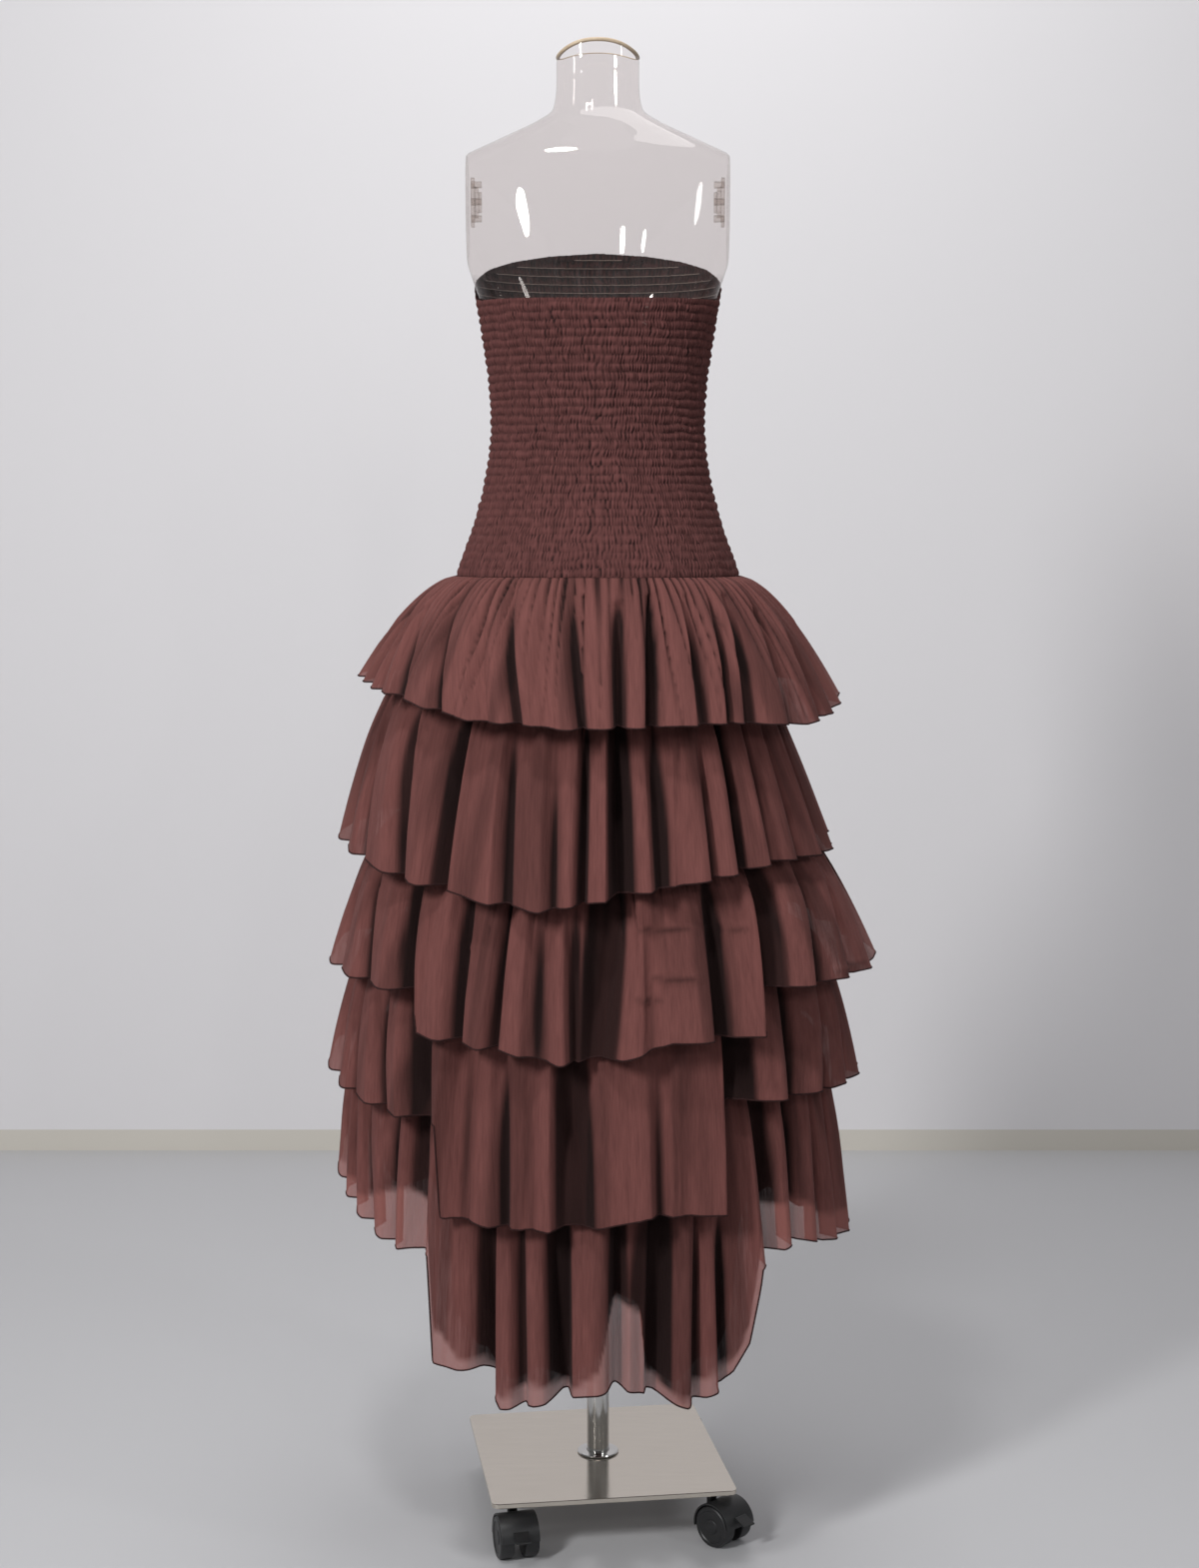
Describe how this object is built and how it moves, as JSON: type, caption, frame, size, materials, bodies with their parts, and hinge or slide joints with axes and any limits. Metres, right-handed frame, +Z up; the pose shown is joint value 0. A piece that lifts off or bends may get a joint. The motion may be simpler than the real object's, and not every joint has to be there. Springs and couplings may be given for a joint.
{
  "type": "tiered midi dress on a clear dress form",
  "caption": "Strapless high-low midi dress with a shirred bodice and gathered ruffle tiers, on a clear torso form, pole and wheeled square base.",
  "frame": {"origin": "on the floor under the pole's axis, which is the middle of the footprint within a centimetre", "axes": "+Z up, -Y the way the dress's back faces, +Y its front, +X the right-hand side seen from behind"},
  "size_m": [0.675, 0.5599, 1.803],
  "materials": {
    "shirred_voile": "matte crinkled cotton voile, elastic shirring",
    "crinkled_voile": "matte sheer crinkled cotton voile",
    "underskirt_voile": "matte plain voile",
    "clear_plastic": "clear, glossy",
    "chrome": "bright",
    "polished_steel": "polished",
    "zinc": "satin",
    "black_nylon": "satin black"
  },
  "bodies": {
    "dress_and_stand": {"bodice_back": "shirred_voile", "bodice_front": "shirred_voile", "underskirt_back": "underskirt_voile", "underskirt_front": "underskirt_voile", "tier_1_back": "crinkled_voile", "tier_1_front": "crinkled_voile", "tier_2_back": "crinkled_voile", "tier_2_front": "crinkled_voile", "tier_3_back": "crinkled_voile", "tier_3_front": "crinkled_voile", "tier_4_back": "crinkled_voile", "tier_4_front": "crinkled_voile", "tier_5_back": "crinkled_voile", "tier_5_front": "crinkled_voile", "form_shell": "clear_plastic", "form_base": "clear_plastic", "pole_collar": "chrome", "arm_fitting_left": "clear_plastic", "arm_fitting_right": "clear_plastic", "base_plate": "polished_steel", "pole": "chrome", "pole_flange": "chrome", "caster_near_left_stem": "zinc", "caster_near_right_stem": "zinc", "caster_far_left_stem": "zinc", "caster_far_right_stem": "zinc"},
    "near_left_swivel": {"caster_near_left_hood": "black_nylon"},
    "near_left_wheel_pair": {"caster_near_left_wheels": "black_nylon"},
    "near_left_brake": {"caster_near_left_lever": "black_nylon"},
    "near_right_swivel": {"caster_near_right_hood": "black_nylon"},
    "near_right_wheel_pair": {"caster_near_right_wheels": "black_nylon"},
    "near_right_brake": {"caster_near_right_lever": "black_nylon"},
    "far_left_swivel": {"caster_far_left_hood": "black_nylon"},
    "far_left_wheel_pair": {"caster_far_left_wheels": "black_nylon"},
    "far_left_brake": {"caster_far_left_lever": "black_nylon"},
    "far_right_swivel": {"caster_far_right_hood": "black_nylon"},
    "far_right_wheel_pair": {"caster_far_right_wheels": "black_nylon"},
    "far_right_brake": {"caster_far_right_lever": "black_nylon"}
  },
  "joints": [
    {"name": "near_left_swivel_turn", "type": "hinge", "parent": "dress_and_stand", "child": "near_left_swivel", "pos_m": [-0.10371, -0.13965, 0.05], "axis": [0, 0, 1], "continuous": true},
    {"name": "near_left_wheel_roll", "type": "hinge", "parent": "near_left_swivel", "child": "near_left_wheel_pair", "pos_m": [-0.09854, -0.15897, 0.025], "axis": [0.9659, 0.2588, 0], "continuous": true},
    {"name": "near_left_brake_press", "type": "hinge", "parent": "near_left_swivel", "child": "near_left_brake", "pos_m": [-0.09165, -0.18468, 0.03916], "axis": [0.9659, 0.2588, 0], "range_deg": [0, 18]},
    {"name": "near_right_swivel_turn", "type": "hinge", "parent": "dress_and_stand", "child": "near_right_swivel", "pos_m": [0.13965, -0.10371, 0.05], "axis": [0, 0, 1], "continuous": true},
    {"name": "near_right_wheel_roll", "type": "hinge", "parent": "near_right_swivel", "child": "near_right_wheel_pair", "pos_m": [0.15379, -0.11785, 0.025], "axis": [0.7071, 0.7071, 0], "continuous": true},
    {"name": "near_right_brake_press", "type": "hinge", "parent": "near_right_swivel", "child": "near_right_brake", "pos_m": [0.17261, -0.13668, 0.03916], "axis": [0.7071, 0.7071, 0], "range_deg": [0, 18]},
    {"name": "far_left_swivel_turn", "type": "hinge", "parent": "dress_and_stand", "child": "far_left_swivel", "pos_m": [-0.13965, 0.10371, 0.05], "axis": [0, 0, 1], "continuous": true},
    {"name": "far_left_wheel_roll", "type": "hinge", "parent": "far_left_swivel", "child": "far_left_wheel_pair", "pos_m": [-0.12086, 0.11055, 0.025], "axis": [-0.342, 0.9397, 0], "continuous": true},
    {"name": "far_left_brake_press", "type": "hinge", "parent": "far_left_swivel", "child": "far_left_brake", "pos_m": [-0.09584, 0.11966, 0.03916], "axis": [-0.342, 0.9397, 0], "range_deg": [0, 18]},
    {"name": "far_right_swivel_turn", "type": "hinge", "parent": "dress_and_stand", "child": "far_right_swivel", "pos_m": [0.10371, 0.13965, 0.05], "axis": [0, 0, 1], "continuous": true},
    {"name": "far_right_wheel_roll", "type": "hinge", "parent": "far_right_swivel", "child": "far_right_wheel_pair", "pos_m": [0.10989, 0.15867, 0.025], "axis": [-0.9511, 0.309, 0], "continuous": true},
    {"name": "far_right_brake_press", "type": "hinge", "parent": "far_right_swivel", "child": "far_right_brake", "pos_m": [0.11812, 0.18399, 0.03916], "axis": [-0.9511, 0.309, 0], "range_deg": [0, 18]}
  ]
}
